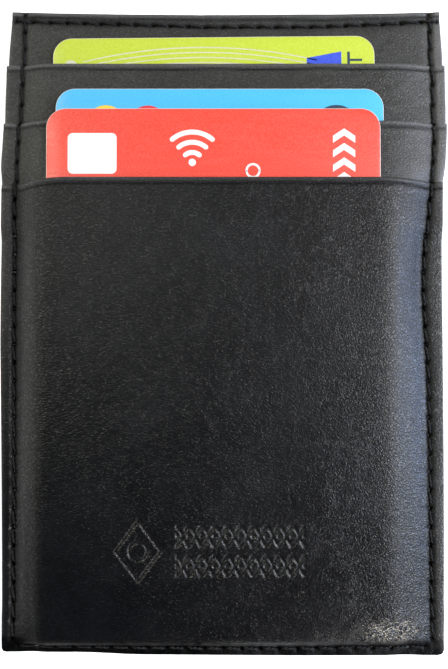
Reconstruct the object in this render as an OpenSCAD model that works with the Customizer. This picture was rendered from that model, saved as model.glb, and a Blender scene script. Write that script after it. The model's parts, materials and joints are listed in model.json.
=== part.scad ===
// Upright leather card holder: three stepped card pockets on the front, an open-topped note compartment
// behind them, a plain back, and the three cards that it carries.
// It lies on its back: X across, Y towards the mouths, Z out of the front. The origin is on the surface
// that it lies on, under the middle of its outline. Heights written v run up from the bottom edge.

/* [Holder] */
// Width across the widest pocket
holder_w = 73.6; // [73.5:0.1:75]
// Height from the bottom edge to the top edge
holder_h = 106.2; // [105.5:0.1:110]
// Height of the middle of the side seams above the surface, at the underside of the back
side_lift = 1.9; // [1.6:0.1:2.2]
// The same along the bottom seam
bottom_lift = 2.5; // [2.3:0.1:2.7]
// The same at the top edge
top_lift = 0.6; // [0.6:0.1:1.5]

/* [Leather] */
// Thickness of the panels and pockets
leather_t = 0.7; // [0.6:0.05:0.7]
// Thickness of the back and of the front pocket, which are cut from a heavier skin
outer_t = 0.8; // [0.7:0.05:0.9]
// Thickness of a pared edge, where it is sewn into the sides
margin_t = 0.6; // [0.5:0.05:0.65]
// Thickness of the turned flap behind each mouth
flap_t = 0.3; // [0.25:0.05:0.3]
// Depth of the turned flap
flap_h = 6; // [5:0.5:7]
// Thickness to which a pocket's lower edge is pared
pared_t = 0.45; // [0.3:0.05:0.5]

/* [Lining] */
// Thickness of the lining cloth
lining_t = 0.15; // [0.1:0.01:0.15]
// Left edge of the hanging linings of the top and middle pockets
stem_left = -29.1; // [-29.1:0.1:-28.8]
// Their right edge
stem_right = 26.8; // [26.5:0.1:26.8]

/* [Pockets] */
// Height of the top pocket's mouth above the bottom edge
top_mouth_v = 96.9; // [96.4:0.1:97.2]
// Height of the middle pocket's mouth
middle_mouth_v = 86.4; // [86.2:0.1:87]
// Height of the front pocket's mouth
front_mouth_v = 76.65; // [76:0.05:76.85]
// How far the top and middle pockets' leather runs down behind the next mouth
overlap = 7.5; // [7:0.1:7.6]
// Free space on each side of a card's thickness
slot_gap = 0.06; // [0.06:0.01:0.08]

/* [Cards] */
// Length of a card
card_l = 85.6; // [85.5:0.1:85.7]
// Width of a card
card_w = 53.98; // [53.9:0.02:54]
// Thickness of a card
card_t = 0.76; // [0.7:0.02:0.78]
// Corner radius of a card
card_r = 3.18; // [2.9:0.01:3.5]
// Sideways place of the yellow card, which is in the top pocket
yellow_x = -1.55; // [-2:0.05:-1.5]
// Sideways place of the blue card, which is in the middle pocket
blue_x = -0.6; // [-1.5:0.05:-0.5]
// Sideways place of the red card, which is in the front pocket
red_x = -1.6; // [-2:0.05:-1.5]
// Height of the yellow card's lower end above the bottom edge
yellow_v = 15.9; // [15.5:0.1:16.5]
// Height of the blue card's lower end
blue_v = 6.35; // [6.2:0.05:6.6]
// Height of the red card's lower end
red_v = 2.35; // [2.3:0.05:2.6]
// Slope of the blue card over the layers behind it, in degrees
blue_tilt = 0.55; // [0.54:0.01:0.57]
// Slope of the red card
red_tilt = 1.1; // [1.1:0.05:1.3]
// Width of the red card's contact plate
chip_w = 11.8; // [11:0.1:12.5]
// Height of the contact plate
chip_h = 13; // [12:0.1:13.5]

/* [Seams] */
// Distance of the side seams from the middle
seam_x = 34.1; // [34.1:0.01:34.15]
// Distance of the bottom seam from the bottom edge
bottom_seam_v = 1.2; // [1.15:0.05:1.25]
// Distance of the hem seams from the top edge
hem_seam_in = 1.8; // [1.6:0.1:2.2]
// Length of one stitch with its hole
stitch_pitch = 3; // [2.5:0.1:3.5]
// Diameter of the thread
thread_d = 0.45; // [0.35:0.05:0.45]

/* [Hidden] */
$fn = 32;

// The pockets from back to front, and the same order for the cards
TOP = 0;
MIDDLE = 1;
FRONT = 2;
mouth_v = [top_mouth_v, middle_mouth_v, front_mouth_v];
card_x = [yellow_x, blue_x, red_x];
card_v = [yellow_v, blue_v, red_v];
card_tilt = [0, blue_tilt, red_tilt];

margin_in_x = 33.2;    // inner edge of the flat sewn margin
flank_steps = 6;       // steps in which the layers slope from the margin to their flat part
flat_left = 29.2;      // how far the flat part of every layer reaches to the left of the middle
flat_right = 26.9;     // and that of the pockets to the right, because the cards sit to the left in them
groove_top = 0.45;     // from a seam to the upper edge of the groove that its stitches lie in
groove_floor = 0.25;   // from a seam to the lower edge of the groove
groove = [-groove_top, -groove_floor, groove_floor, groove_top];
channel_d = 0.25;      // depth of the groove in a single edge
hem_channel_d = 0.55;  // its depth where the hem is turned over, so that cards and notes slide past
layer_gap = 0.02;      // between layers that are sewn together
note_gap = 0.1;        // between the two flaps at the mouth of the note compartment
skive = 0.3;           // length of the slope where a flap ends
lining_inset = 0.7;    // sewn linings stop short of the leather's edge
corner_r = 0.8;        // rounding of the bottom corners
roll_h = 0.7;          // height over which the front rolls down to the bottom seam
roll_v = card_v[FRONT] - roll_h;
panel_roll_h = 8;      // the same for the back and the base
step_h = 2;            // length over which a layer drops past the end of the one under it
mouth_row = 2;         // depth of the row of points just below a mouth
stitch_hole = 0.7;     // length of thread that is down in the hole
stitch_r = thread_d / 2;
thread_gap = 2 * layer_gap;
bridge = 0.14;         // rise of the side stitches, which bridge the drops past the ends of the layers
seam_end = 0.8;        // a seam stops this far from the seam that crosses it
seam_top_in = 0.4;     // and the side seams this far from the top edge
card_stop = 0.4;       // free space under a card's lower end
floor_drop = 0.9;      // height over which a hanging lining comes in to the base under its card
floor_w = 1.3;         // height of the part of it that is sewn down

// Heights where the margins and the outline change
rise_h = 8;            // the margins rise to the bottom seam over this height
fall_start = 70;       // and come down to the top edge from here
narrow_start = 50;     // the pockets narrow downwards from here
narrow_end = 5;        // and to here
foot_h = 6;            // height of the slightly narrower foot
panel_start = 78;      // the back and the base widen upwards from here
panel_end = 94;        // and to here
top_start = 97;        // and they narrow to the top edge from here
widen_start = [78.5, 72];  // the top and middle pockets widen upwards from here
widen_h = 10;          // and over this height
pocket_steps = [0.5, 0.4, 0];  // how far each pocket's mouth stands out past the front pocket's sides

black = [0.09, 0.09, 0.1];
dark = [0.06, 0.06, 0.07];
thread_black = [0.03, 0.03, 0.035];

function smooth(t) = let (c = min(max(t, 0), 1)) c * c * (3 - 2 * c);
function bulge(t) = let (c = min(max(t, 0), 1)) c * (2 - c);
function mix(a, b, t) = a + (b - a) * t;

// ---- Heights of the layers in the middle of the holder ----

function base_underside() = outer_t + flap_t + note_gap + flap_t;
function base_topside() = base_underside() + leather_t;

// Underside of a card at height v
function card_z(k, v) =
    k == TOP ? base_topside() + slot_gap
             : leather_z(k - 1, card_v[k - 1]) + slot_gap + tan(card_tilt[k]) * (v - card_v[k - 1]);

// Underside of a pocket's leather at height v, over its flap or its lining
function leather_z(k, v) = card_z(k, v) + card_t / cos(card_tilt[k]) + slot_gap + cover_t(k, v);

// The front pocket's leather lies on its lining below its flap
function cover_t(k, v) =
    k == FRONT ? mix(lining_t, flap_t, smooth((v - mouth_v[FRONT] + flap_h + 10) / 10)) : flap_t;

// Lower end of a pocket's leather
function leather_end(k) = k == FRONT ? 0 : mouth_v[k + 1] - overlap;
function pared(k, v) = k == FRONT ? 1 : smooth((v - leather_end(k)) / overlap);

// ---- Heights of the layers in the sewn margins ----

function lift(v) =
    side_lift + (bottom_lift - side_lift) * smooth((rise_h - v) / rise_h)
              - (side_lift - top_lift) * smooth((v - fall_start) / (holder_h - fall_start));
function back_margin(v) = lift(v);
function back_lining_margin(v) = back_margin(v) + margin_t + layer_gap;
function base_lining_margin(v) = back_lining_margin(v) + lining_t + layer_gap;
function base_margin(v) = base_lining_margin(v) + lining_t + layer_gap;
function base_margin_top(v) = base_margin(v) + margin_t;

// Underside of a pocket in the margin: it lies on the layer below, and drops to the base past its end
function pocket_margin(k, v) =
    k == TOP ? base_margin_top(v) + layer_gap
             : let (end = leather_end(k - 1),
                    on_layer = smooth((v - end + step_h) / step_h))
               mix(base_margin_top(v), pocket_margin_top(k - 1, max(v, end)), on_layer) + layer_gap;
function pocket_margin_top(k, v) =
    pocket_margin(k, v) + lining_t + mix(pared_t, margin_t, pared(k, v));

// ---- Outline and cross-section ----

function corner(v) = v < corner_r ? corner_r - sqrt(pow(corner_r, 2) - pow(corner_r - v, 2)) : 0;
// Half the width of the front pocket at height v
function front_half(v) =
    holder_w / 2 - pocket_steps[TOP] - corner(v)
    - 0.45 * smooth((narrow_start - v) / (narrow_start - narrow_end))
    - 0.2 * smooth((foot_h - v) / foot_h);
function pocket_half(k, v) =
    front_half(v) + (k == FRONT ? 0 : pocket_steps[k] * smooth((v - widen_start[k]) / widen_h));
// The back and the base stay inside the pockets
function panel_half(v) =
    front_half(v) - 0.2
    + 0.6 * smooth((v - panel_start) / (panel_end - panel_start))
    - 0.4 * smooth((v - top_start) / (holder_h - top_start));
// 0 in the margins and 1 over the flat part, which reaches to x = right. The leather bulges in between.
function side_weight(x, right) =
    let (flat = x < 0 ? flat_left : right)
    bulge((margin_in_x - abs(x)) / (margin_in_x - flat));
function in_channel(off) = abs(off) < (groove_floor + groove_top) / 2 ? 1 : 0;
function channel(x) = channel_d * in_channel(abs(x) - seam_x);

// Columns of a sheet between its edges: groove, margin and flank on each side of the flat part
function inner_columns(flat) =
    concat([for (off = groove) seam_x - off],
           [for (i = [0:flank_steps]) mix(margin_in_x, flat, i / flank_steps)]);
last_column = len(inner_columns(flat_left));
function columns(edge, right) =
    let (left_x = inner_columns(flat_left), right_x = inner_columns(right))
    concat([-edge], [for (x = left_x) -x], [for (i = [1:last_column]) right_x[last_column - i]], [edge]);

// A curved sheet between the heights lo(x, v) and hi(x, v), with its rows at vs
module sheet(vs, edge, right, lo, hi) {
    n = 2 * last_column + 2;
    m = len(vs);
    top = n * m;
    grid = [for (v = vs) for (x = columns(edge(v), right)) [x, v]];
    points = concat([for (p = grid) [p.x, p.y, lo(p.x, p.y)]],
                    [for (p = grid) [p.x, p.y, hi(p.x, p.y)]]);
    cells = [for (j = [0:m - 2]) for (i = [0:n - 2]) j * n + i];
    rim = concat([for (i = [0:n - 2]) [i, i + 1]],
                 [for (j = [0:m - 2]) [j * n + n - 1, (j + 1) * n + n - 1]],
                 [for (i = [n - 1:-1:1]) [(m - 1) * n + i, (m - 1) * n + i - 1]],
                 [for (j = [m - 1:-1:1]) [j * n, (j - 1) * n]]);
    translate([0, -holder_h / 2, 0])
        polyhedron(points, concat(
            [for (c = cells) [c, c + 1, c + n + 1]],
            [for (c = cells) [c, c + n + 1, c + n]],
            [for (c = cells) [top + c, top + c + n + 1, top + c + 1]],
            [for (c = cells) [top + c, top + c + n, top + c + n + 1]],
            [for (r = rim) [r[0], top + r[0], top + r[1]]],
            [for (r = rim) [r[0], top + r[1], r[1]]]));
}

// Rows of the sheets
roll_start = 1.8;
corner_rows = [0, corner_r / 3, corner_r, roll_start];
roll_rows = [for (i = [1:panel_roll_h]) roll_start + i];
hem_seam_v = holder_h - hem_seam_in;
hem_rows = concat([holder_h - flap_h - skive, holder_h - flap_h],
                  [for (off = groove) hem_seam_v + off], [holder_h]);
fall_rows = concat([narrow_start], [for (i = [0:4]) mix(fall_start, mouth_v[TOP] - skive, i / 4)]);
panel_rows = concat(corner_rows, roll_rows, fall_rows, [mouth_v[TOP]], hem_rows);
panel_lining_rows = concat([lining_inset, roll_start], roll_rows, fall_rows,
                           [holder_h - flap_h - 2 * skive]);

function panel_weight(x, v) = side_weight(x, flat_left) * bulge((v - roll_start) / panel_roll_h);
function hem(v, top) = smooth((v - top + flap_h + skive) / skive);
function hem_channel(x, v) =
    mix(channel_d, hem_channel_d, side_weight(x, flat_left)) * in_channel(v - hem_seam_v);

// ---- Back of the holder, and the note compartment ----

// A full-height panel or its lining, from its faces in the margins to its faces in the middle
module panel(rows, inset, margin_lo, margin_hi, middle_lo, middle_hi)
    sheet(rows, function (v) panel_half(v) - inset, flat_left,
          function (x, v) mix(margin_lo(x, v), middle_lo(x, v), panel_weight(x, v)),
          function (x, v) mix(margin_hi(x, v), middle_hi(x, v), panel_weight(x, v)));

module back_panel()
    color(black)
    panel(panel_rows, 0,
          function (x, v) back_margin(v) + hem_channel(x, v),
          function (x, v) back_margin(v) + margin_t,
          function (x, v) hem_channel(x, v),
          function (x, v) outer_t + flap_t * hem(v, holder_h));

module back_lining()
    color(dark)
    panel(panel_lining_rows, lining_inset,
          function (x, v) back_lining_margin(v),
          function (x, v) back_lining_margin(v) + lining_t,
          function (x, v) outer_t + layer_gap,
          function (x, v) outer_t + layer_gap + lining_t);

function base_channel(x, v) = max(hem_channel(x, v), v < mouth_v[TOP] ? 0 : channel(x));

module base_panel()
    color(black)
    panel(panel_rows, 0,
          function (x, v) base_margin(v),
          function (x, v) base_margin_top(v) - base_channel(x, v),
          function (x, v) base_underside() - flap_t * hem(v, holder_h),
          function (x, v) base_topside() - base_channel(x, v));

module base_lining()
    color(dark)
    panel(panel_lining_rows, lining_inset,
          function (x, v) base_lining_margin(v),
          function (x, v) base_lining_margin(v) + lining_t,
          function (x, v) base_underside() - layer_gap - lining_t,
          function (x, v) base_underside() - layer_gap);

// ---- Pockets ----

// Leather of a pocket, with its mouth turned over into a flap
module pocket_leather(k, rows, thickness, weight)
    color(black)
    sheet(rows, function (v) pocket_half(k, v), flat_right,
          function (x, v) mix(pocket_margin(k, v) + lining_t * (1 - hem(v, mouth_v[k])),
                              leather_z(k, v) - flap_t * hem(v, mouth_v[k]), weight(x, v)),
          function (x, v) mix(pocket_margin_top(k, v) - channel(x),
                              leather_z(k, v) + mix(pared_t, thickness, pared(k, v)), weight(x, v)));

function mouth_rows(k) = [for (d = [flap_h + skive, flap_h, mouth_row, 0]) mouth_v[k] - d];
function drop_rows(k) = [for (i = [0:2]) leather_end(k) - step_h * (2 - i) / 2];
function strip_rows(k) =
    concat([leather_end(k)], mouth_rows(k + 1), k == TOP ? [] : drop_rows(k - 1), mouth_rows(k));

module top_pocket()
    pocket_leather(TOP, strip_rows(TOP), leather_t, function (x, v) side_weight(x, flat_right));

module middle_pocket()
    pocket_leather(MIDDLE, strip_rows(MIDDLE), leather_t, function (x, v) side_weight(x, flat_right));

front_middle_rows = concat([roll_v + roll_h / 2, roll_v + roll_h], [mix(roll_v, rise_h, 0.6), rise_h],
                           [mix(rise_h, narrow_start, 0.5), narrow_start], drop_rows(MIDDLE));
front_rows = concat([for (v = corner_rows) if (v < roll_v) v], [roll_v], front_middle_rows,
                    mouth_rows(FRONT));
front_lining_rows = concat([lining_inset, roll_v], front_middle_rows,
                           [mouth_v[FRONT] - flap_h - 2 * skive]);
function front_weight(x, v) = side_weight(x, flat_right) * bulge((v - roll_v) / roll_h);

module front_pocket()
    pocket_leather(FRONT, front_rows, outer_t, function (x, v) front_weight(x, v));

// Upper face of the front pocket's lining, whose cloth lies under the leather
function front_lining_z(x, v) =
    mix(pocket_margin(FRONT, v) + lining_t, leather_z(FRONT, v), front_weight(x, v)) - layer_gap;
module front_pocket_lining()
    color(dark)
    sheet(front_lining_rows, function (v) front_half(v) - lining_inset, flat_right,
          function (x, v) front_lining_z(x, v) - lining_t + layer_gap,
          function (x, v) front_lining_z(x, v));

// A hanging lining: it goes straight down over its card, then in to the base, where it is sewn down
function floor_v(k) = card_v[k] - card_stop;
function base_top_at(v) = mix(base_margin_top(v), base_topside(), panel_weight(0, v));
module hanging_lining(k) {
    start = mouth_v[k] - flap_h - 2 * skive;
    low = floor_v(k) - floor_drop;
    over = [[start, leather_z(k, start) - layer_gap],
            [floor_v(k), leather_z(k, floor_v(k)) - layer_gap],
            [low, base_top_at(low) + lining_t + layer_gap],
            [low - floor_w, base_top_at(low - floor_w) + lining_t + layer_gap]];
    under = [for (i = [3:-1:0]) over[i] - [0, lining_t]];
    color(dark)
        translate([stem_left, -holder_h / 2, 0])
        rotate([90, 0, 90])
        linear_extrude(stem_right - stem_left)
        polygon(concat(over, under));
}

module top_pocket_lining() hanging_lining(TOP);
module middle_pocket_lining() hanging_lining(MIDDLE);

// ---- Thread ----

// One visible stitch from point a to point b
module stitch(a, b) {
    run = b - a;
    translate((a + b) / 2 - [0, holder_h / 2, 0])
        rotate([0, acos(run.z / norm(run)), atan2(run.y, run.x)])
        cylinder(h = norm(run), r = stitch_r, center = true);
}

// Stitches along a seam from one place on it to another, where point(place) is the middle of the thread
module stitch_row(from, to, point) {
    count = round((to - from) / stitch_pitch);
    step = (to - from) / count;
    for (i = [0:count - 1]) {
        s = from + i * step + stitch_hole / 2;
        stitch(point(s), point(s + step - stitch_hole));
    }
}

// The outer surface of the margin at height v
function outermost(v) = v > mouth_v[MIDDLE] ? TOP : v > mouth_v[FRONT] ? MIDDLE : FRONT;
function outer_top(v) = v > mouth_v[TOP] ? base_margin_top(v) : pocket_margin_top(outermost(v), v);
thread_z = stitch_r + thread_gap;
seam_top = holder_h - seam_top_in;
seam_steps = [bottom_seam_v + seam_end, mouth_v[FRONT], mouth_v[MIDDLE], mouth_v[TOP], seam_top];

// A side seam, whose stitches begin again at each mouth
module side_seam(side)
    color(thread_black)
    for (i = [0:len(seam_steps) - 2])
        stitch_row(seam_steps[i], seam_steps[i + 1],
                   function (v) [side * seam_x, v, outer_top(v) - channel_d + thread_z + bridge]);

module side_bobbin(side)
    color(thread_black)
    stitch_row(seam_steps[0], seam_top,
               function (v) [side * seam_x, v, back_margin(v) - thread_z - layer_gap]);

bottom_seam_end = seam_x - seam_end;

module left_seam_thread() side_seam(-1);
module right_seam_thread() side_seam(1);
module left_seam_bobbin_thread() side_bobbin(-1);
module right_seam_bobbin_thread() side_bobbin(1);

module bottom_seam_thread()
    color(thread_black)
    stitch_row(-bottom_seam_end, bottom_seam_end,
               function (x) [x, bottom_seam_v, pocket_margin_top(FRONT, bottom_seam_v) + thread_z]);

module bottom_seam_bobbin_thread()
    color(thread_black)
    stitch_row(-bottom_seam_end, bottom_seam_end,
               function (x) [x, bottom_seam_v, back_margin(bottom_seam_v) - thread_z]);

// A hem seam lies in its groove, between the side seams
hem_fade = 2;  // length over which it comes up out of the deeper groove
function hem_thread_depth(x) =
    (hem_channel_d - stitch_r - thread_gap) * smooth((flat_left + hem_fade - abs(x)) / hem_fade);
module hem_seam(height)
    color(thread_black)
    stitch_row(-seam_x + seam_end, seam_x - seam_end, function (x) [x, hem_seam_v, height(x)]);

module top_hem_thread()
    hem_seam(function (x) mix(base_margin_top(hem_seam_v), base_topside(), side_weight(x, flat_left))
                          - hem_thread_depth(x));

module back_hem_thread()
    hem_seam(function (x) mix(back_margin(hem_seam_v), 0, side_weight(x, flat_left)) + hem_thread_depth(x));

// The stitches that close a hanging lining onto the base
module floor_seam(k) {
    v = floor_v(k) - floor_drop - floor_w / 2;
    color(thread_black)
        stitch_row(stem_left + seam_end, stem_right - seam_end,
                   function (x) [x, v, base_top_at(v) + lining_t + layer_gap + thread_z]);
}

module top_pocket_floor_thread() floor_seam(TOP);
module middle_pocket_floor_thread() floor_seam(MIDDLE);

// ---- Cards ----

module rounded_rectangle(size, r) {
    translate([-size.x / 2, r]) square([size.x, size.y - 2 * r]);
    translate([-size.x / 2 + r, 0]) square([size.x - 2 * r, size.y]);
    for (x = [-1, 1])
        for (y = [r, size.y - r])
            translate([x * (size.x / 2 - r), y]) circle(r);
}

// Puts something drawn on a card's underside, from the middle of its lower end, where that card lies
module on_card(k)
    translate([card_x[k], card_v[k] - holder_h / 2, card_z(k, card_v[k])])
    rotate([card_tilt[k], 0, 0])
    children();

module card(k)
    on_card(k)
    linear_extrude(card_t) rounded_rectangle([card_w, card_l], card_r);

chip_t = 0.2;
chip_r = 1.2;
chip_fit = 0.02;
chip_x = -4.5;  // middle of the contact plate, to the left of the card's middle
chip_v = card_l - 28.5;
chip_z = card_t - chip_t;

module chip_shape(grow)
    translate([chip_x, chip_v - grow])
    rounded_rectangle([chip_w + 2 * grow, chip_h + 2 * grow], chip_r);

module yellow_card() color([0.82, 0.9, 0.15]) card(TOP);

module blue_card() color([0.25, 0.72, 0.95]) card(MIDDLE);

module red_card()
    color([0.9, 0.22, 0.18])
    difference() {
        card(FRONT);
        on_card(FRONT) translate([0, 0, chip_z]) linear_extrude(card_t) chip_shape(chip_fit);
    }

module red_card_chip()
    color([0.83, 0.68, 0.35])
    on_card(FRONT)
    translate([0, 0, chip_z + chip_fit])
    linear_extrude(chip_t - chip_fit)
    chip_shape(0);

back_panel();
back_lining();
base_panel();
base_lining();
top_pocket();
top_pocket_lining();
middle_pocket();
middle_pocket_lining();
front_pocket();
front_pocket_lining();
top_hem_thread();
back_hem_thread();
left_seam_thread();
right_seam_thread();
bottom_seam_thread();
left_seam_bobbin_thread();
right_seam_bobbin_thread();
bottom_seam_bobbin_thread();
top_pocket_floor_thread();
middle_pocket_floor_thread();
yellow_card();
blue_card();
red_card();
red_card_chip();
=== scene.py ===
"""Looks of the card holder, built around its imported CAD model.

Lengths here are in millimetres and turn into metres where a mesh or a node is made. x runs across the
front, y up the holder towards the pocket mouths, and z out of the front, as in the CAD frame.
"""

import json
import math

import bpy
import numpy as np
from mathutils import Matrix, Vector
from mathutils.bvhtree import BVHTree


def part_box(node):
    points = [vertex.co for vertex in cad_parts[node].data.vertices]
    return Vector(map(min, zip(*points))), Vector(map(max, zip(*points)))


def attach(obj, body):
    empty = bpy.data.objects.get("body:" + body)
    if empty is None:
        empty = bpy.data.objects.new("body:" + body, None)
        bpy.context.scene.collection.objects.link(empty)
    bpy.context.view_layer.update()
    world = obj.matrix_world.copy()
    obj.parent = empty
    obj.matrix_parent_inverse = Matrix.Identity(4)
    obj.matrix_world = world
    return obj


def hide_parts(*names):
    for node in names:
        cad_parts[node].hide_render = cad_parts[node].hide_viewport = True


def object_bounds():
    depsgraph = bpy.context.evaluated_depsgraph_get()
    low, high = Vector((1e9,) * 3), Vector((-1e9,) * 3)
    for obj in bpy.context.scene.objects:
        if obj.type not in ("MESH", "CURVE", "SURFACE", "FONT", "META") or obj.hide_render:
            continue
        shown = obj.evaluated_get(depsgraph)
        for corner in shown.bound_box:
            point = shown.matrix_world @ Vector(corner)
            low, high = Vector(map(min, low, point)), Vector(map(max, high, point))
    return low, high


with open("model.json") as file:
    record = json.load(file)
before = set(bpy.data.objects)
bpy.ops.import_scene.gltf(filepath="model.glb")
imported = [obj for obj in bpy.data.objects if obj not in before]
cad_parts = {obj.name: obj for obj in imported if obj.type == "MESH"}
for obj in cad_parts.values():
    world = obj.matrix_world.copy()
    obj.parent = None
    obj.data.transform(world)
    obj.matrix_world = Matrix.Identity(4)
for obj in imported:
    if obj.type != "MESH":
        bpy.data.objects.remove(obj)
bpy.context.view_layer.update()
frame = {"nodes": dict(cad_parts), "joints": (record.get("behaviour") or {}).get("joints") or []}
MM = 0.001


# ---- Numbers from the frame ----


def box(node):
    low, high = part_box(node)
    return np.array(low) / MM, np.array(high) / MM


def middle(node, axis):
    low, high = box(node)
    return (low[axis] + high[axis]) / 2


def node_points(node):
    return np.array([v.co for v in frame["nodes"][node].data.vertices], float) / MM


BASE_LOW, BASE_HIGH = box("base_panel")
BOTTOM, TOP = BASE_LOW[1], BASE_HIGH[1]
MOUTH = {name: box(name)[1][1] for name in ("top_pocket", "middle_pocket", "front_pocket")}
SIDE_SEAM_X = abs(middle("left_seam_thread", 0))
SIDE_SEAM_START, SIDE_SEAM_END = (corner[1] for corner in box("left_seam_bobbin_thread"))
BOTTOM_SEAM_Y = middle("bottom_seam_thread", 1)
BOTTOM_SEAM_END = box("bottom_seam_thread")[1][0]
HEM_SEAM_Y = middle("top_hem_thread", 1)
THREAD_DIAMETER = box("back_hem_thread")[1][1] - box("back_hem_thread")[0][1]
STITCH = 3.0  # from one hole to the next


# ---- Small maths ----


def smooth(t):
    t = np.clip(t, 0, 1)
    return t * t * (3 - 2 * t)


def mix(a, b, t):
    return a + (b - a) * t


def bell(t, width):
    return np.exp(-((t / width) ** 2))


LATTICE = 128  # cells after which the noise repeats
NOISE_MIDDLE = (57.3, 71.9)  # the part's middle on the lattice


def noise(x, y, size, seed):
    """Smooth noise from about -1 to 1, with lumps about size across."""
    lattice = np.random.default_rng(seed).uniform(-1, 1, (LATTICE, LATTICE))
    u, v = np.asarray(x) / size + NOISE_MIDDLE[0], np.asarray(y) / size + NOISE_MIDDLE[1]
    i, j = np.floor(u).astype(int), np.floor(v).astype(int)
    f, g = smooth(u - i), smooth(v - j)
    corner = [lattice[(j + b) % LATTICE, (i + a) % LATTICE] for b in (0, 1) for a in (0, 1)]
    return mix(mix(corner[0], corner[1], f), mix(corner[2], corner[3], f), g)


def creases(x, y, size, seed):
    """Thin winding lines, 1 on a line and 0 away from it."""
    warp, warp_size, thinness = 0.6 * size, 1.7 * size, 9
    warp_x = x + warp * noise(x, y, warp_size, seed + 1)
    warp_y = y + warp * noise(x, y, warp_size, seed + 2)
    return np.clip(1 - np.abs(noise(warp_x, warp_y, size, seed)) * thinness, 0, 1) ** 1.5


# ---- Hand-made outline ----


def sway(y):
    """How far the sides stand to the right of their straight place, which is less at the waist."""
    upper_half = 0.42 * smooth((y - 22) / 12)
    waist = 0.3 * bell(y - 4, 24)
    return upper_half - waist


def seam_bend(x, y):
    """How far the right seam wanders between the flat front and the straight edge."""
    beside_strips = 0.45 * smooth((y - 19) / 5)
    beside_front = 0.3 * smooth((19 - y) / 6) + 0.6 * bell(y - 6, 9)
    off_front, at_edge = smooth((x - 27) / 6), smooth((x - 34.6) / 1.8)
    return (beside_strips - beside_front) * off_front * (1 - at_edge)


def hand_made(points):
    """Moves points from the straight outline to a slightly crooked, sewn one."""
    points = np.array(points, float)
    x, y = points[..., 0].copy(), points[..., 1].copy()
    top_edge = -0.25 + 0.45 * (x / BASE_HIGH[0]) ** 2
    bottom_edge = 0.4 * smooth((-12 - x) / 12) - 0.13 * smooth((x + 12) / 24)
    near_side = smooth((np.abs(x) - 20) / 12)
    near_top, near_bottom = smooth((y - TOP + 8) / 8), smooth((BOTTOM + 2 - y) / 2)
    points[..., 0] = x + sway(y) * near_side + seam_bend(x, y)
    points[..., 1] = y + top_edge * near_top + bottom_edge * near_bottom
    return points


# ---- Meshes ----


def new_mesh(name, points, faces, material, material_index=None, materials=()):
    mesh = bpy.data.meshes.new(name)
    mesh.from_pydata((np.asarray(points) * MM).tolist(), [], [tuple(f) for f in faces])
    for m in [material, *materials]:
        mesh.materials.append(m)
    if material_index is not None:
        mesh.polygons.foreach_set("material_index", np.asarray(material_index, np.int32))
    mesh.validate()
    mesh.update()
    piece = bpy.data.objects.new(name, mesh)
    bpy.context.scene.collection.objects.link(piece)
    return piece


def shade_smooth(piece, angle=None):
    mesh = piece.data
    mesh.polygons.foreach_set("use_smooth", [True] * len(mesh.polygons))
    if angle is not None:
        mesh.set_sharp_from_angle(angle=math.radians(angle))
    return piece


def lofted(rings):
    """Points and faces of a solid through rings with the same number of points, closed at both ends."""
    n = len(rings[0])
    faces = [tuple(reversed(range(n)))]
    for k in range(len(rings) - 1):
        for i in range(n):
            a, b = k * n + i, k * n + (i + 1) % n
            faces.append((a, b, b + n, a + n))
    faces.append(tuple((len(rings) - 1) * n + i for i in range(n)))
    return np.concatenate(rings), faces


def joined(solids):
    """Points and faces of several solids as one list each."""
    points, faces = [], []
    for solid_points, solid_faces in solids:
        start = sum(len(p) for p in points)
        points.append(solid_points)
        faces += [tuple(i + start for i in face) for face in solid_faces]
    return np.concatenate(points), faces


def point_value(piece, name, values):
    """Stores one number for each point, which a material reads by that name."""
    attribute = piece.data.attributes.new(name, "FLOAT", "POINT")
    attribute.data.foreach_set("value", np.asarray(values, np.float32))


def stand_for(piece, body, slot, *nodes):
    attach(piece, body)
    if nodes:
        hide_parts(*nodes)
    return piece


# ---- Materials ----


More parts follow.
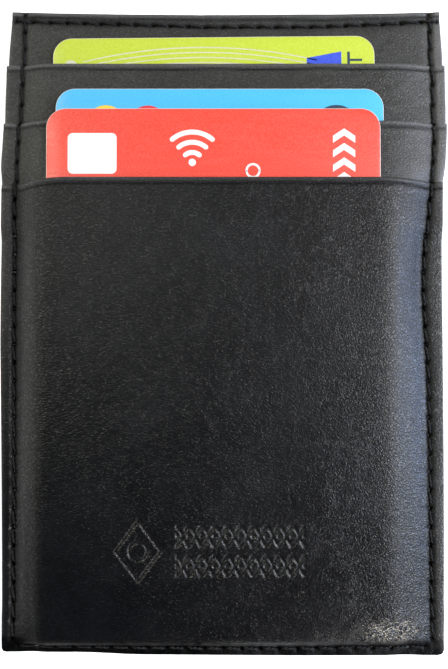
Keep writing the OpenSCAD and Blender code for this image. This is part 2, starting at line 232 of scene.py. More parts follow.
class Shader:
    """A material with a Principled shader, and short ways to add nodes to it."""

    def __init__(self, name, color, roughness, **sockets):
        self.material = bpy.data.materials.new(name)
        self.material.use_nodes = True
        self.tree = self.material.node_tree
        self.surface = self.tree.nodes["Principled BSDF"]
        self.surface.inputs["Base Color"].default_value = (*color, 1)
        self.surface.inputs["Roughness"].default_value = roughness
        for socket, value in sockets.items():
            self.surface.inputs[socket.replace("_", " ")].default_value = value
        self.coordinates = None

    def node(self, kind, inputs=(), **settings):
        n = self.tree.nodes.new("ShaderNode" + kind)
        for key, value in settings.items():
            setattr(n, key, value)
        for key, value in dict(inputs).items():
            if isinstance(value, bpy.types.NodeSocket):
                self.tree.links.new(value, n.inputs[key])
            else:
                n.inputs[key].default_value = value
        return n

    def place(self, scale=(1, 1, 1)):
        """Object coordinates in millimetres, times scale."""
        if self.coordinates is None:
            self.coordinates = self.node("TexCoord").outputs["Object"]
        size = [s / MM for s in scale]
        return self.node("Mapping", {"Vector": self.coordinates, "Scale": size}).outputs[0]

    def math(self, operation, a, b=0.0):
        return self.node("Math", {0: a, 1: b}, operation=operation).outputs[0]

    def add(self, a, b):
        return self.math("ADD", a, b)

    def minus(self, a, b):
        return self.math("SUBTRACT", a, b)

    def times(self, a, b):
        return self.math("MULTIPLY", a, b)

    def ramp(self, value, low, high, to_low=0.0, to_high=1.0):
        inputs = {"Value": value, "From Min": low, "From Max": high, "To Min": to_low, "To Max": to_high}
        return self.node("MapRange", inputs, interpolation_type="SMOOTHSTEP").outputs[0]

    def noise(self, place, scale, detail=2.0, roughness=0.5, output="Fac"):
        """Noise around 0.5, with scale lumps to a millimetre."""
        inputs = {"Vector": place, "Scale": scale, "Detail": detail, "Roughness": roughness}
        return self.node("TexNoise", inputs).outputs[output]

    def winding_lines(self, noise, width, strength=1.0):
        """Lines where a noise passes its middle value: strength on a line, and 0 off it."""
        off_line = self.math("ABSOLUTE", self.minus(noise, 0.5))
        return self.ramp(off_line, 0.0, width, strength, 0)

    def tint(self, factor, a, b):
        n = self.node("Mix", data_type="RGBA")
        colors = [socket for socket in n.inputs if socket.type == "RGBA"]
        for socket, value in zip(colors, (a, b)):
            if isinstance(value, bpy.types.NodeSocket):
                self.tree.links.new(value, socket)
            else:
                socket.default_value = (*value, 1)
        self.tree.links.new(factor, n.inputs[0])
        return next(socket for socket in n.outputs if socket.type == "RGBA")

    def twill(self, place, scale, distortion):
        inputs = {"Vector": place, "Scale": scale, "Distortion": distortion}
        return self.node("TexWave", inputs, bands_direction="DIAGONAL").outputs["Fac"]

    def bump(self, height, depth_mm, strength=1.0):
        inputs = {"Height": height, "Distance": depth_mm * MM, "Strength": strength}
        return self.node("Bump", inputs).outputs[0]

    def attribute(self, name):
        return self.node("Attribute", attribute_name=name).outputs["Fac"]

    def drive(self, socket, value):
        self.tree.links.new(value, self.surface.inputs[socket])


def darker(color, factor):
    return tuple(c * factor for c in color)


GRAIN = 3.4  # pebbles to a millimetre
RIGHT_GRAIN = (0.95, 1.05, 1)  # how much finer the grain is each way on the right of the holder
PAINTED_GLINT = (0.56, 0.5, 0.41)  # painted highlight: pale crinkles in the smoothed corner, standing for a lamp's glints on its creases


def grain_height(s, finer, bend):
    """Height of the pebbles and of the valleys between them, in grain that is finer by these factors."""
    bent = s.node("VectorMath", {0: s.place(finer), 1: bend}, operation="ADD").outputs[0]
    cells = s.node("TexVoronoi", {"Vector": bent, "Scale": GRAIN, "Smoothness": 0.5}, feature="SMOOTH_F1")
    edges = s.node("TexVoronoi", {"Vector": bent, "Scale": GRAIN * 0.55}, feature="DISTANCE_TO_EDGE")
    pebbles = s.ramp(cells.outputs["Distance"], 0.1, 0.6, 1, 0)
    valleys = s.ramp(edges.outputs["Distance"], 0.0, 0.2)
    return s.add(s.times(pebbles, 0.5), s.times(valleys, 0.35))


def leather_material(name, color, worn_and_sheen, roughness, shine, grain, stretch=(1, 1, 1), lines=0.0, calm=1.0):
    """Fine pebbled leather: grain cells, the valleys between them, creases and uneven dye.

    roughness is that of the foot and of the top, and shine that of the valleys and of the pebbles. grain is
    how deep it is, calm what is left of that at the lower left, and stretch how much finer it is each way
    on the left. lines is how strongly a net of thin scuffed wrinkles shows on the right. The paleness of
    each point, with painted highlight and painted light in it, its painted shade, and its gloss, which also
    places painted glints, come with the mesh.
    """
    s = Shader(name, color, roughness[0])
    place = s.place()
    x, y, _ = s.node("SeparateXYZ", {0: place}).outputs
    wear_and_sheen, painted_shade, polish_and_glint = (s.attribute(value) for value in ("wear_and_sheen", "painted_shade", "polish_and_glint"))
    rubbed_and_glint = s.times(polish_and_glint, polish_and_glint)

    # Relief
    bend = s.noise(place, 0.45, 3, output="Color")
    bend = s.node("VectorMath", {0: bend, 1: (1.1, 1.1, 1.1)}, operation="MULTIPLY").outputs[0]
    left, right = (grain_height(s, finer, bend) for finer in (stretch, RIGHT_GRAIN))
    height = s.add(left, s.times(s.minus(right, left), s.ramp(x, 2, 24)))
    pores = s.noise(place, 4.5, 3, 0.55)
    height = s.add(height, s.times(pores, 0.35))
    wrinkles = s.noise(s.place((0.7, 1.3, 1)), 1.3, 3, 0.6)
    relief = s.add(s.minus(height, 0.9), s.times(wrinkles, 0.8))
    relief = s.times(relief, s.add(1.0, s.times(rubbed_and_glint, 6.0)))
    off_lower_left = s.add(x, s.times(s.minus(y, BOTTOM), 0.6))
    s.drive("Normal", s.bump(relief, 0.035 * grain, s.ramp(off_lower_left, -22, 0, calm, 1)))

    # Colour
    patches = s.noise(place, 0.11, 4, 0.6)
    dye = s.ramp(s.add(s.times(patches, 0.5), s.times(height, 0.5)), 0.32, 0.72)
    # pale: scuffing, with painted highlight on folds and rims and painted light on the right and at the
    # upper left
    pale = s.times(wear_and_sheen, s.ramp(pores, 0.3, 0.7, 0.5, 1))
    if lines:
        net = s.winding_lines(s.noise(place, 0.16, 3, 0.55), 0.007, lines)
        net = s.times(net, s.ramp(x, -2, 16))
        pale = s.add(pale, s.times(net, s.ramp(pores, 0.35, 0.6, 0.3, 1)))
    dyed = s.tint(pale, s.tint(dye, darker(color, 0.4), color), worn_and_sheen)
    # Painted highlight: pale crinkles in the smoothed corner and on the right edge stand for a lamp's
    # glints on creases
    painted_glints = s.winding_lines(s.noise(s.place((0.75, 1.4, 1)), 1.4, 2, 0.5), 0.045)
    dyed = s.tint(s.times(painted_glints, s.ramp(rubbed_and_glint, 0.08, 0.7)), dyed, PAINTED_GLINT)
    # Painted shade: much darker in the stitch lines, in the crease under a turned mouth and along the foot
    s.drive("Base Color", s.tint(painted_shade, dyed, darker(color, 0.12)))

    # Gloss
    gloss = s.add(s.ramp(height, 0.42, 0.95, *shine), s.times(polish_and_glint, 0.3))
    # The painted shade also takes the gloss away
    s.drive("Specular IOR Level", s.times(gloss, s.minus(1.0, painted_shade)))
    rough = s.ramp(y, BOTTOM, 25, *roughness)
    rough = s.add(rough, s.times(s.minus(patches, 0.5), 0.18))
    rough = s.add(rough, s.times(s.minus(0.6, height), 0.12))
    rough = s.add(rough, s.times(painted_shade, 0.2))
    s.drive("Roughness", s.minus(rough, s.times(polish_and_glint, 0.17)))
    return s.material


def lining_material():
    """Dark lining cloth with a fine twill."""
    s = Shader("lining_cloth", (0.02, 0.02, 0.024), 0.85, Sheen_Weight=0.25, Sheen_Roughness=0.5)
    place = s.place()
    height = s.add(s.twill(place, 1.1, 0.4), s.times(s.noise(place, 6, 3), 0.6))
    s.drive("Normal", s.bump(height, 0.03))
    s.drive("Base Color", s.tint(s.ramp(height, 0.3, 1.3), (0.012, 0.012, 0.014), (0.035, 0.035, 0.04)))
    return s.material


def thread_material():
    """Black sewing thread with its fibres."""
    s = Shader("black_thread", (0.004, 0.004, 0.005), 0.6, Specular_IOR_Level=0.3)
    place = s.place()
    height = s.add(s.times(s.twill(place, 2.6, 1.2), 0.6), s.noise(place, 9, 3))
    s.drive("Normal", s.bump(height, 0.03))
    s.drive("Base Color", s.tint(s.ramp(height, 0.5, 1.3), (0.002, 0.002, 0.0025), (0.009, 0.009, 0.011)))
    return s.material


def card_material(name, color, roughness=0.42):
    """Laminated plastic: a faint orange-peel bump, scuffs and a little uneven ink."""
    s = Shader(name, color, roughness, Coat_Weight=0.15, Coat_Roughness=0.3)
    place = s.place()
    speckle = s.noise(place, 4.5, 3)
    peel = s.noise(place, 1.4, 2)
    scuffs = s.noise(s.place((0.15, 1.6, 1)), 1.0, 4, 0.7)
    pale = tuple(mix(c, 0.9, 0.05) for c in color)
    s.drive("Base Color", s.tint(s.ramp(speckle, 0.3, 0.7), darker(color, 0.93), pale))
    s.drive("Normal", s.bump(s.add(peel, s.times(speckle, 0.3)), 0.012))
    s.drive("Roughness", s.ramp(scuffs, 0.35, 0.75, roughness * 0.8, roughness * 1.3))
    return s.material


def metal_material(name, color):
    """Finely brushed metal."""
    s = Shader(name, color, 0.28, Metallic=1.0)
    brushed = s.noise(s.place((0.6, 8, 1)), 1.0, 3)
    s.drive("Roughness", s.ramp(brushed, 0.3, 0.7, 0.2, 0.4))
    s.drive("Normal", s.bump(brushed, 0.004))
    return s.material


def floor_material():
    """White paper, which glows a little so that the ground stays white."""
    s = Shader("paper_floor", (0.93, 0.93, 0.93), 0.8)
    s.drive("Normal", s.bump(s.noise(s.place(), 1.2, 4), 0.01))
    s.surface.inputs["Emission Color"].default_value = (1, 1, 1, 1)
    s.surface.inputs["Emission Strength"].default_value = 0.8
    return s.material


LEATHER = leather_material(
    "pocket_leather", (0.0345, 0.0345, 0.033), worn_and_sheen=(0.15, 0.15, 0.155), roughness=(0.44, 0.48),
    shine=(0.5, 0.66), grain=1.7, stretch=(0.7, 1.1, 1)
)
FRONT_LEATHER = leather_material(
    "front_leather", (0.0052, 0.0055, 0.0072), worn_and_sheen=(0.09, 0.09, 0.092), roughness=(0.295, 0.44),
    shine=(0.32, 0.68), grain=1.5, stretch=(0.6, 1.2, 1), lines=0.5, calm=0.4
)
BACK_LEATHER = leather_material(
    "back_leather_skin", (0.008, 0.0083, 0.0095), worn_and_sheen=(0.08, 0.08, 0.082), roughness=(0.38, 0.42),
    shine=(0.36, 0.62), grain=1.4
)
LINING = lining_material()
THREAD = thread_material()


# ---- Shapes of the CAD sheets ----


class Skin:
    """Faces and outline of a CAD sheet, as functions of x and y.

    step is how far apart its height is read, and blur how far that is evened out.
    """

    same_row = 0.002

    def __init__(self, node, blur, step):
        self.step = step
        points = node_points(node)
        faces = [tuple(f.vertices) for f in frame["nodes"][node].data.polygons]
        tree = BVHTree.FromPolygons(points.tolist(), faces)
        self.low, self.high = points.min(0), points.max(0)
        self.xs = np.arange(self.low[0], self.high[0] + step, step)
        self.ys = np.arange(self.low[1], self.high[1] + step, step)
        clear = 5.0
        self.upper = self.blurred(self.cast(tree, self.high[2] + clear, -1), blur)
        self.lower = self.blurred(self.cast(tree, self.low[2] - clear, 1), blur)
        self.row_y = np.unique(points[:, 1].round(3))
        rows = [points[np.abs(points[:, 1] - y) < self.same_row, 0] for y in self.row_y]
        self.row_left = np.array([r.min() for r in rows])
        self.row_right = np.array([r.max() for r in rows])

    def cast(self, tree, start, direction):
        """Heights where rays from the level start meet the sheet, with gaps filled from beside them."""
        inside = 0.02
        grid = np.full((len(self.ys), len(self.xs)), np.nan)
        for j, y in enumerate(np.clip(self.ys, self.low[1] + inside, self.high[1] - inside)):
            for i, x in enumerate(self.xs):
                hit = tree.ray_cast(Vector((x, y, start)), Vector((0, 0, direction)))[0]
                if hit is not None:
                    grid[j, i] = hit.z
            found = ~np.isnan(grid[j])
            grid[j] = np.interp(self.xs, self.xs[found], grid[j, found])
        return grid

    def blurred(self, grid, sigma):
        reach = int(math.ceil(3 * sigma / self.step))
        kernel = np.exp(-0.5 * (np.arange(-reach, reach + 1) * self.step / sigma) ** 2)
        kernel /= kernel.sum()
        for axis in (0, 1):
            pad = [(reach, reach) if a == axis else (0, 0) for a in (0, 1)]
            wide = np.pad(grid, pad, mode="edge")
            grid = np.apply_along_axis(lambda line: np.convolve(line, kernel, "valid"), axis, wide)
        return grid

    def read(self, grid, x, y):
        """Height at x, y between the places where it was read."""
        u = np.clip((x - self.xs[0]) / self.step, 0, len(self.xs) - 1.001)
        v = np.clip((y - self.ys[0]) / self.step, 0, len(self.ys) - 1.001)
        i, j = u.astype(int), v.astype(int)
        f, g = u - i, v - j
        low = mix(grid[j, i], grid[j, i + 1], f)
        high = mix(grid[j + 1, i], grid[j + 1, i + 1], f)
        return mix(low, high, g)

    def edges(self, y):
        """Left and right edge at height y."""
        return np.interp(y, self.row_y, self.row_left), np.interp(y, self.row_y, self.row_right)


def places(low, high, step, edge, fine=None):
    """Places from low to high, closer at the ends, which round over, and in fine, a (from, to, step)."""
    turn = edge * (1 - np.cos(np.linspace(0, math.pi / 2, 6)))
    stretches = [(low + edge, high - edge, step)]
    if fine is not None:
        stretches = [(low + edge, fine[0], step), (*fine,), (fine[1], high - edge, step)]
    inner = [np.linspace(a, b, max(2, round((b - a) / s) + 1)) for a, b, s in stretches]
    return np.unique(np.concatenate([low + turn, *inner, high - turn]).round(5))


def off_crease(x, y, below_mouth):
    """Distance from the crease under a turned mouth, for a point that is so far below the mouth."""
    return below_mouth - 1.05 - 0.12 * noise(x, y, 6, 21)


class Sheet:
    """A sheet of leather or cloth on a CAD sheet, with rounded edges and a relief on its outer face.

    relief(x, y) is added to the upper face, or to the lower one if face is -1. mouth is the radius of a
    turned upper edge, and cut that of a cut edge. step is the distance between points, and fine has the
    finer stretches of columns and of rows. shift(x) moves the upper edge. blur and probe go to the Skin,
    and seams are the ones whose painted shade darkens the sheet.
    """

    hold = 3.0  # what is this near a side moves fully with it where the outline wanders
    shift_reach = 8.0  # a moved upper edge takes along what is this near it

    def __init__(self, node, relief=lambda x, y: 0, step=0.35, cut=0.3, mouth=0.5, fine=(None, None),
                 face=1, shift=lambda x: 0, blur=0.5, probe=0.5, seams=()):
        self.skin = Skin(node, blur, probe)
        self.seams = seams
        self.relief, self.face = relief, face
        low, high = self.skin.low, self.skin.high
        columns = places(low[0], high[0], step, cut, fine[0])
        rows = places(low[1], high[1], step, max(cut, mouth), fine[1])
        c, r = np.meshgrid(columns, rows)
        left, right = self.skin.edges(r)
        t = smooth((c - low[0] - self.hold) / (high[0] - low[0] - 2 * self.hold))
        near_mouth = smooth((r - high[1] + self.shift_reach) / self.shift_reach)
        self.x = c + (left - low[0]) * (1 - t) + (right - high[0]) * t
        self.y = r + shift(c) * near_mouth
        self.side_distance = np.minimum(c - low[0], high[0] - c)
        self.mouth_distance = high[1] - r
        round_over = self.rounded(self.side_distance, cut) * self.rounded(r - low[1], cut)
        round_over = round_over * self.rounded(self.mouth_distance, mouth)
        upper, lower = self.upper(self.x, self.y), self.lower(self.x, self.y)
        centre = (upper + lower) / 2
        self.top = mix(centre, upper, round_over)
        self.bottom = mix(centre, lower, round_over)

    def rounded(self, distance, radius):
        return np.sqrt(np.clip(1 - (1 - np.clip(distance / radius, 0, 1)) ** 2, 0, 1))

    def upper(self, x, y):
        z = self.skin.read(self.skin.upper, x, y)
        return z + self.relief(x, y) if self.face > 0 else z

    def lower(self, x, y):
        z = self.skin.read(self.skin.lower, x, y)
        return z - self.relief(x, y) if self.face < 0 else z

    def flat_size(self):
        """Width and length in metres along the surface, through its middle."""
        row, column = self.x.shape[0] // 2, self.x.shape[1] // 2
        across = np.hypot(np.diff(self.x[row]), np.diff(self.top[row])).sum()
        along = np.hypot(np.diff(self.y[:, column]), np.diff(self.top[:, column])).sum()
        return across * MM, along * MM

    def mesh(self, name, material, wear_and_sheen=None, polish_and_glint=None):
        """The piece; the two functions give its leather's values for each point: paleness with painted
        highlight and painted light in it, and gloss that also places painted glints.
        """
        rows, columns = self.x.shape
        n = rows * columns
        index = np.arange(n).reshape(rows, columns)
        below = index + n
        below[0], below[-1], below[:, 0], below[:, -1] = index[0], index[-1], index[:, 0], index[:, -1]

        def quads(i):
            return np.stack([i[:-1, :-1], i[:-1, 1:], i[1:, 1:], i[1:, :-1]], -1).reshape(-1, 4)

        faces = np.concatenate([quads(index), quads(below)[:, ::-1]])
        upper = np.stack([self.x, self.y, self.top], -1).reshape(-1, 3)
        lower = np.stack([self.x, self.y, self.bottom], -1).reshape(-1, 3)
        used, faces = np.unique(faces, return_inverse=True)
        points = hand_made(np.concatenate([upper, lower])[used])
        piece = shade_smooth(new_mesh(name, points, faces.reshape(-1, 4), material))
        if wear_and_sheen is not None:
            polish_and_glint_values = 0 * self.x if polish_and_glint is None else polish_and_glint(self)
            # Paleness with painted highlight and light, painted shade, and gloss with painted glints
            for value, grid in (("wear_and_sheen", wear_and_sheen(self)), ("painted_shade", self.painted_shade()), ("polish_and_glint", polish_and_glint_values)):
                point_value(piece, value, np.concatenate([grid.reshape(-1)] * 2)[used])
        return piece

    def painted_shade(self):
        """Painted shade: how dark the leather is painted in its stitch lines, in the crease under its
        turned edge and at the holder's foot.
        """
        dark = 0.8 * bell(off_crease(self.x, self.y, self.mouth_distance), 0.22)
        to_left = smooth((6 - self.x) / 12)
        # Painted shade along the foot, reaching higher at the left
        foot = smooth((BOTTOM + 2.8 + 0.6 * to_left - self.y) / 0.8)
        patchy = (0.35 - 0.25 * noise(self.x, self.y, 1.2, 25)) * (1 - 0.6 * to_left)
        dark = np.maximum(dark, foot * (1 - patchy))
        for seam in self.seams:
            dark = np.maximum(dark, seam.painted_shade(self.x, self.y))
        return dark


# ---- Seams ----


class Seam:
    """A straight row of stitches on one face of a sheet.

    along is 0 for a seam along x and 1 for one along y; at is its other coordinate. The thread goes down
    at each hole and lies slanted across the seam line in between. wave and bow are how much that wanders.
    """

    def __init__(self, along, at, start, end, slant=0.2, wave=0.06, bow=0.0):
        self.along, self.at, self.start, self.end = along, at, start, end
        self.count = max(1, round((end - start) / STITCH))
        self.pitch = (end - start) / self.count
        self.slant, self.wave, self.bow = slant, wave, bow

    def line(self, s):
        """How far the seam wanders off its straight line."""
        return self.wave * noise(s, s * 0 + self.at, 7, 5) + self.bow * (0.35 - bell(s - 6, 22))

    def local(self, x, y):
        """A point along the seam and across it, the stitches up to it, and how far it is from a hole.

        The last value is 1 along the seam and falls to 0 past its ends.
        """
        s, t = (y, x) if self.along else (x, y)
        t = t - self.at - self.line(s)
        phase = (s - self.start) / self.pitch
        off_hole = np.hypot((phase - np.round(phase)) * self.pitch, t)
        fade = 0.8
        within = smooth((s - self.start + fade) / fade) * smooth((self.end + fade - s) / fade)
        return s, t, phase, off_hole, within

    def relief(self, x, y, valley=0.2, pit=0.36, pucker=0.1):
        """The valley of the seam, a pit at each hole, and puckers that fan out between the stitches."""
        s, t, phase, off_hole, within = self.local(x, y)
        depth = valley * bell(t, 0.42) + pit * bell(off_hole, 0.3)
        fan = phase + 0.25 * t / self.pitch * noise(s, t * 0, 3, 8) + 0.1 * noise(s, t, 1.6, 7)
        crease = (0.5 + 0.5 * np.cos(2 * math.pi * fan)) ** 3
        strength = np.exp(-np.abs(t) / 1.3) * (0.65 + 0.55 * noise(s, t * 0, 4, 9))
        return -within * (depth + pucker * crease * strength)

    def painted_shade(self, x, y):
        """Painted shade in the stitch line, darker round the holes."""
        _, t, _, off_hole, within = self.local(x, y)
        return within * np.clip(0.75 * bell(t, 0.42) + bell(off_hole, 0.4), 0, 1)

    def stitches(self, height, face=1):
        """Centrelines of the stitches, with the leather's height from height(x, y)."""
        u = np.linspace(0, 1, 11)
        lines = []
        for k in range(self.count):
            jitter = np.random.default_rng(1000 + k + int(abs(self.at) * 7)).uniform(-1, 1, 3)
            s = self.start + self.pitch * (k + 0.1 + 0.8 * u) + 0.06 * jitter[0]
            t = self.at + self.line(s) + (self.slant + 0.04 * jitter[1]) * (1 - 2 * u)
            x, y = (t, s) if self.along else (s, t)
            z = height(x, y)
            level = np.linspace(z[1], z[-2], len(u))
            proud = THREAD_DIAMETER * (0.36 + 0.03 * jitter[2])
            dive = 0.62 * np.abs(2 * u - 1) ** 7
            lines.append(np.stack([x, y, mix(z, level, 0.5) + face * (proud - dive)], -1))
        return lines


PLY_RADIUS = 0.29 * THREAD_DIAMETER
TWIST = 1.5  # length of thread for a full turn of its plies
PLY_SIDES = 7


def sew(name, lines):
    """The thread of the seam of that name: two plies twisted round each other along each line."""
    ring = np.linspace(0, 2 * math.pi, PLY_SIDES, endpoint=False)[None, :, None]
    plies = []
    for number, line in enumerate(lines):
        along = np.gradient(line, axis=0)
        along /= np.linalg.norm(along, axis=1, keepdims=True)
        across = np.cross(along, [0, 0, 1.0])
        across /= np.linalg.norm(across, axis=1, keepdims=True)
        up = np.cross(across, along)
        length = np.concatenate([[0], np.cumsum(np.linalg.norm(np.diff(line, axis=0), axis=1))])
        for ply in (0, 1):
            twist = (2 * math.pi * length / TWIST + math.pi * ply + number)[:, None]
            centre = line + 0.8 * PLY_RADIUS * (np.cos(twist) * across + np.sin(twist) * up)
            out = np.cos(ring) * across[:, None] + np.sin(ring) * up[:, None]
            plies.append(lofted(centre[:, None] + PLY_RADIUS * out))
    points, faces = joined(plies)
    piece = shade_smooth(new_mesh(name + "_stitches", hand_made(points), faces, THREAD), 60)
    stand_for(piece, "holder", "thread", name + "_thread")


# Each stretch of a side seam lies on the sheet that is uppermost there
SIDE_STRETCHES = (
    ("front_pocket", SIDE_SEAM_START, MOUTH["front_pocket"]),
    ("middle_pocket", MOUTH["front_pocket"], MOUTH["middle_pocket"]),
    ("top_pocket", MOUTH["middle_pocket"], MOUTH["top_pocket"]),
    ("base_panel", MOUTH["top_pocket"], TOP - 0.4),
)
SEAMS = {name: [Seam(1, side * SIDE_SEAM_X, a, b) for side in (-1, 1)] for name, a, b in SIDE_STRETCHES}
BOTTOM_SEAM = Seam(0, BOTTOM_SEAM_Y, -BOTTOM_SEAM_END, BOTTOM_SEAM_END, slant=0.1)
HEM_SEAM_END = SIDE_SEAM_X + 1.6
HEM_SEAM = Seam(0, HEM_SEAM_Y, -HEM_SEAM_END, HEM_SEAM_END, wave=0.08, bow=0.7)
SEAMS["front_pocket"].append(BOTTOM_SEAM)
SEAMS["base_panel"].append(HEM_SEAM)


def turned_edge(x, y, mouth):
    """The roll of a turned mouth, the crease under it and the faint ridge below that."""
    below = mouth - y
    roll, ridge = 0.05 * bell(below - 0.35, 0.4), 0.04 * bell(below - 1.6, 0.35)
    return roll - 0.13 * bell(off_crease(x, y, below), 0.2) + ridge


def skin_relief(x, y, seed, strength=1.0):
    """Slow waves and shallow wrinkles of leather that has been carried about."""
    waves = 0.05 * noise(x, y, 14, seed) + 0.025 * noise(x, y, 5, seed + 3)
    wrinkles = 0.016 * noise(x * 0.4, y, 1.1, seed + 5) + 0.01 * noise(x * 0.5, y, 0.6, seed + 6)
    return strength * (waves + wrinkles - 0.02 * creases(x, y, 7, seed + 7))


def leather_relief(name, mouth, seed, strength=1.0):
    """Relief of one sheet of leather, as a function of x and y."""
    def relief(x, y):
        z = skin_relief(x, y, seed, strength) + turned_edge(x, y, mouth)
        for seam in SEAMS.get(name, ()):
            z = z + seam.relief(x, y)
        return z

    return relief


# ---- Debossed ornament at the foot of the front ----

ORNAMENT_LOW = (-17.5, BOTTOM + 11.5)
ORNAMENT_HIGH = (13.5, BOTTOM + 22.5)
ORNAMENT_Y = (ORNAMENT_LOW[1] + ORNAMENT_HIGH[1]) / 2
STROKE = 0.24
LOZENGE_X = -13.5
LOZENGE_HALF = (3.6, 4.8)
RING_RADIUS = 1.45
BORDER_LEFT, BORDER_RIGHT = -7.5, 13.0
BORDER_OFF = 2.35  # from the ornament's middle line to that of a border
BRAID_LENGTH, BRAID_HALF = 4.1, 1.5
BEAD_RADIUS = 0.2


def lozenge(x, y):
    """Distance from a lozenge with a ring in it."""
    x, y = x - LOZENGE_X, y - ORNAMENT_Y
    to_length = 2.9  # from shares of the half sizes to millimetres across the sides
    sides = (np.abs(x) / LOZENGE_HALF[0] + np.abs(y) / LOZENGE_HALF[1] - 1) * to_length
    return np.minimum(np.abs(sides), np.abs(np.hypot(x, y) - RING_RADIUS))


def border(x, y, row):
    """Distance from a border of two strands that cross, with beads between them."""
    x, y = x - BORDER_LEFT, y - ORNAMENT_Y - BORDER_OFF * (1 - 2 * row)
    swing = BRAID_HALF * np.cos(2 * math.pi * x / BRAID_LENGTH)
    slope = np.sqrt(1 + (BRAID_HALF * 2 * math.pi / BRAID_LENGTH) ** 2 * 0.5)
    strands = np.minimum(np.abs(y - swing), np.abs(y + swing)) / slope
    quarter = BRAID_LENGTH / 4
    off_bead = (x + quarter * (1 + 2 * row)) % (2 * quarter) - quarter
    beads = np.abs(np.hypot(off_bead, y) - BEAD_RADIUS)
    outside = np.maximum(np.maximum(-x, x - BORDER_RIGHT + BORDER_LEFT), np.abs(y) - BRAID_HALF - 0.3)
    return np.where(outside > 0, 9, np.minimum(strands, beads))


def ornament(x, y):
    """Depth of the ornament, from 0 to 1: a lozenge with a ring, and two borders."""
    distance = np.minimum(lozenge(x, y), np.minimum(border(x, y, 0), border(x, y, 1)))
    return smooth(1.5 - distance / STROKE)


# ---- Holder ----


def corner_folds(x, y):
    """Slanting folds where the front is drawn down into its lower right corner."""
    along, across = 0.75 * x + 0.65 * y, -0.65 * x + 0.75 * y
    reach = bell(x - 26, 8) * bell(y - BOTTOM - 3.5, 4)
    return reach * (0.1 * noise(along * 0.3, across, 0.8, 91) + 0.05 * noise(along * 0.4, across, 0.4, 92))


def shoulders(x, y):
    """How much lower the front lies where it turns down, for a wider and softer turn."""
    left = 0.38 * bell(x + 31.0, 1.7)
    right = 0.42 * bell(x - 29.6, 2.8)
    foot = 0.38 * bell(y - BOTTOM - 2.9, 1.8) * smooth((x - 12) / 11)
    return np.maximum(np.maximum(left, right), foot)


def front_relief(x, y):
    z = leather_relief("front_pocket", MOUTH["front_pocket"], 40)(x, y)
    return z + corner_folds(x, y) - shoulders(x, y) - 0.16 * ornament(x, y)


def past_seam(x):
    """0 up to the right seam, and 1 in the strip outside it."""
    return smooth((x - SIDE_SEAM_X - 0.4) / 0.5)


def edge_wear_and_sheen(amount, margin=0.0):
    """Paler leather on a turned edge, at the sides and on the right: scuffed edges, with a painted
    highlight along the folds and rims and painted light on the right.

    margin is how pale the strip outside the right seam is; three tenths of it is also painted light on the
    right part inside the seam.
    """
    def wear_and_sheen(sheet):
        # Painted highlight along the turned fold and the side rims, on top of scuffing there
        fold = bell(sheet.mouth_distance - 0.35, 0.4)
        side = bell(sheet.side_distance, 0.5)
        # Painted light on the right part, where the lamps are, besides the paler strip outside the right
        # seam
        right = np.maximum(past_seam(sheet.x), 0.3 * smooth((sheet.x - 24) / 9))
        return np.clip(amount * np.clip(fold + 0.6 * side, 0, 1) + margin * right, 0, 1)

    return wear_and_sheen


def front_wear_and_sheen(sheet):
    """The front is palest at its mouth and outside its seams, and a little pale at the upper left, where
    that is painted light.
    """
    x, y = sheet.x, sheet.y
    right_strip = 0.3 * past_seam(x) * (smooth((-12 - y) / 20) + smooth((y - 17) / 5))
    left_strip = 0.3 * past_seam(-x) * smooth((y + 12) / 25)
    # Painted light: the upper left paler, as the lamps light it more
    upper_left = 0.07 * bell(x + 17, 12) * smooth((y + 8) / 22)
    return np.clip(edge_wear_and_sheen(0.4, 0.3)(sheet) + right_strip + left_strip + upper_left, 0, 1)


def corner_polish_and_glint(sheet):
    """The lower right corner and the right edge are smoother and glossier, and get pale crinkles painted as
    a lamp's glints on creases, most in the corner.
    """
    corner = bell(sheet.x - 27, 5.5) * bell(sheet.y - BOTTOM - 4.2, 2.4)
    return np.clip(corner + 0.6 * bell(sheet.side_distance, 0.35) * (sheet.x > 0), 0, 1)


back = Sheet("back_panel", leather_relief("back_panel", TOP, 70), step=0.6, face=-1)
stand_for(back.mesh("back_leather", BACK_LEATHER, edge_wear_and_sheen(0.3)), "holder", "leather", "back_panel")


def strip(name, node, mouth, seed, **shape):
    """One of the three sheets that show above the front panel."""
    sheet = Sheet(node, leather_relief(node, mouth, seed, strength=2.3), seams=SEAMS[node], **shape)
    stand_for(sheet.mesh(name, LEATHER, edge_wear_and_sheen(0.5, 0.85)), "holder", "leather", node)
    return sheet


base_fine = (MOUTH["top_pocket"] - 1.5, TOP - 0.6, 0.3)
base = strip("base_leather", "base_panel", TOP, 10, step=0.45, fine=(None, base_fine))
top_pocket = strip("top_pocket_leather", "top_pocket", MOUTH["top_pocket"], 20, shift=lambda x: -0.22)
middle_pocket = strip("middle_pocket_leather", "middle_pocket", MOUTH["middle_pocket"], 30)

ornament_fine = [(ORNAMENT_LOW[a], ORNAMENT_HIGH[a], 0.16) for a in (0, 1)]
front = Sheet("front_pocket", front_relief, fine=ornament_fine, seams=SEAMS["front_pocket"],
              shift=lambda x: -0.6 * smooth((-25 - x) / 8) - 0.1 * smooth((x - 25) / 8))
front_piece = front.mesh("front_leather_panel", FRONT_LEATHER, front_wear_and_sheen, corner_polish_and_glint)
stand_for(front_piece, "holder", "front_leather", "front_pocket")

LINING_SHAPE = {"step": 1.0, "cut": 0.05, "mouth": 0.05}
for node, beneath in (
    ("back_lining", "back_panel"), ("base_lining", "base_panel"), ("front_pocket_lining", "front_pocket")
):
    cloth = Sheet(node, **LINING_SHAPE)
    piece = stand_for(cloth.mesh(node + "_cloth", LINING), "holder", "lining", node)
    cloth.flat_size()

